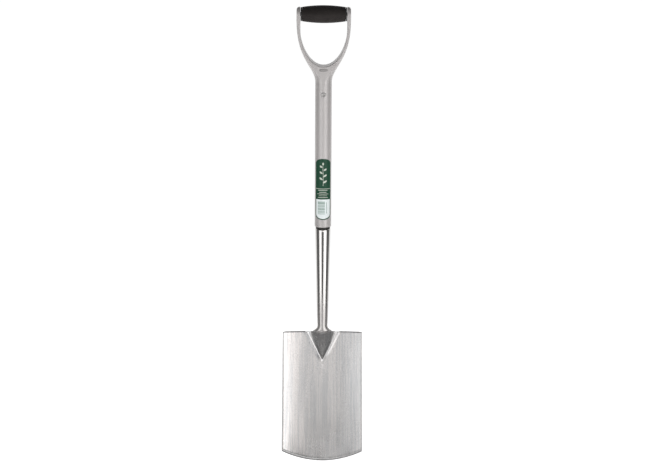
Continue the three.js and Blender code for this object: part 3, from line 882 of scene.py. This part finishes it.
def make_spool():
    end = SPOOL_HIGH[0]
    waist = end - 3
    radius, edge, bore, core = 15.6, 0.8, 4.3, 12.1
    profile = [(bore, -end), (radius - edge, -end), *low_corner(radius, -end, edge, 0.2, 1.57, 6)]
    profile += [(radius, -waist - 0.1), (radius - 0.1, -waist), (core, -waist), (core, waist)]
    profile += [(radius - 0.1, waist), (radius, waist + 0.1), *high_corner(radius, end, edge, 0, 1.4, 6)]
    profile += [(radius - edge, end), (bore, end), (bore, -end)]
    points, faces = turned(profile, 96)
    return piece("grip_spool", along_x(points, GRIP_Z), faces, BLACK, ("grip_core",))


make_blade()
make_neck()
make_weld(-1, "weld_left")
make_weld(1, "weld_right")
make_ring()
make_sleeve()
make_label()
make_handle()
make_pad()
make_grip()
make_spool()
make_rivets()

for node in ("shaft_core", "grip_rod"):
    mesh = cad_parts[node].data
    mesh.materials.clear()
    mesh.materials.append(TUBE)


# ---- studio ----
CAMERA_ELEVATION = math.radians(12)
CAMERA_DISTANCE = 8.0
FRAME_WIDTH = 1.447  # metres seen across the picture at the shaft
AIM = Vector((-0.0008, AXIS_Y * MM, 0.5159))
ROLL = math.radians(0.25)
LIT_POINT = Vector((0, 0, 0.55))


def make_camera():
    data = bpy.data.cameras.new("camera")
    data.sensor_width = 36
    data.lens = 36 * CAMERA_DISTANCE / FRAME_WIDTH
    data.clip_end = 100
    camera = bpy.data.objects.new("camera", data)
    bpy.context.scene.collection.objects.link(camera)
    back = Vector((0, -math.cos(CAMERA_ELEVATION), math.sin(CAMERA_ELEVATION)))
    turn = back.to_track_quat("Z", "Y").to_matrix().to_4x4()
    stand = Matrix.Translation(AIM + back * CAMERA_DISTANCE)
    camera.matrix_world = stand @ turn @ Matrix.Rotation(ROLL, 4, "Z")
    bpy.context.scene.camera = camera


def softbox(name, azimuth, elevation, distance, width, height, radiance, colour=(1, 1, 1)):
    """A soft rectangular lamp facing the spade. Azimuth is from the camera's side, to the right."""
    data = bpy.data.lights.new(name, "AREA")
    data.shape = "RECTANGLE"
    data.size, data.size_y = width, height
    data.energy = math.pi * width * height * radiance
    data.color = colour
    lamp = bpy.data.objects.new(name, data)
    bpy.context.scene.collection.objects.link(lamp)
    a, e = math.radians(azimuth), math.radians(elevation)
    away = Vector((math.sin(a) * math.cos(e), -math.cos(a) * math.cos(e), math.sin(e)))
    turn = away.to_track_quat("Z", "Y").to_matrix().to_4x4()
    lamp.matrix_world = Matrix.Translation(LIT_POINT + away * distance) @ turn
    lamp.visible_camera = False


def make_world():
    world = bpy.data.worlds.new("studio")
    world.use_nodes = True
    tree = world.node_tree
    background = tree.nodes["Background"]
    path = tree.nodes.new("ShaderNodeLightPath")
    mix = tree.nodes.new("ShaderNodeMix")
    mix.data_type = "FLOAT"
    tree.links.new(path.outputs["Is Camera Ray"], mix.inputs["Factor"])
    mix.inputs["A"].default_value = 0.13
    mix.inputs["B"].default_value = 1.1
    tree.links.new(mix.outputs["Result"], background.inputs["Strength"])
    background.inputs["Color"].default_value = (1, 1, 1, 1)
    bpy.context.scene.world = world


def make_floor():
    mesh = bpy.data.meshes.new("floor")
    size = 12
    corners = [(-size, -size, 0), (size, -size, 0), (size, size, 0), (-size, size, 0)]
    mesh.from_pydata(corners, [], [(0, 1, 2, 3)])
    floor = bpy.data.objects.new("floor", mesh)
    bpy.context.scene.collection.objects.link(floor)
    floor.location.z = -0.0005
    look = Look("floor_white", Roughness=0.9)
    speck = look.noise((3, 3, 3), detail=3)
    tone = look.blend(look.remap(speck, 0.3, 0.7, 0, 1), (0.90, 0.90, 0.90), (0.93, 0.93, 0.93))
    look.set("Base Color", tone)
    look.shader.inputs["Emission Color"].default_value = (1, 1, 1, 1)
    look.shader.inputs["Emission Strength"].default_value = 0.9
    mesh.materials.append(look.material)
    floor.visible_glossy = False
    floor.visible_shadow = False


make_camera()
make_world()
make_floor()
softbox("key_left", -38, -8, 2.4, 1.5, 2.1, 1.25)
softbox("key_right", 36, -8, 2.4, 1.7, 2.1, 1.6)
softbox("fill_centre", -3, -3, 2.4, 0.38, 0.75, 0.50)
softbox("fill_left", -14, -3, 2.4, 0.62, 0.75, 0.78, (0.97, 0.985, 1.0))
softbox("fill_right", 11.5, -3, 2.4, 0.80, 0.75, 0.98, (1.0, 0.955, 0.935))
softbox("front_low", 0, -36, 2.4, 1.6, 0.5, 0.8)
softbox("backdrop", 180, 0, 1.3, 6.0, 3.4, 0.75)
bpy.context.scene.view_settings.view_transform = "Standard"
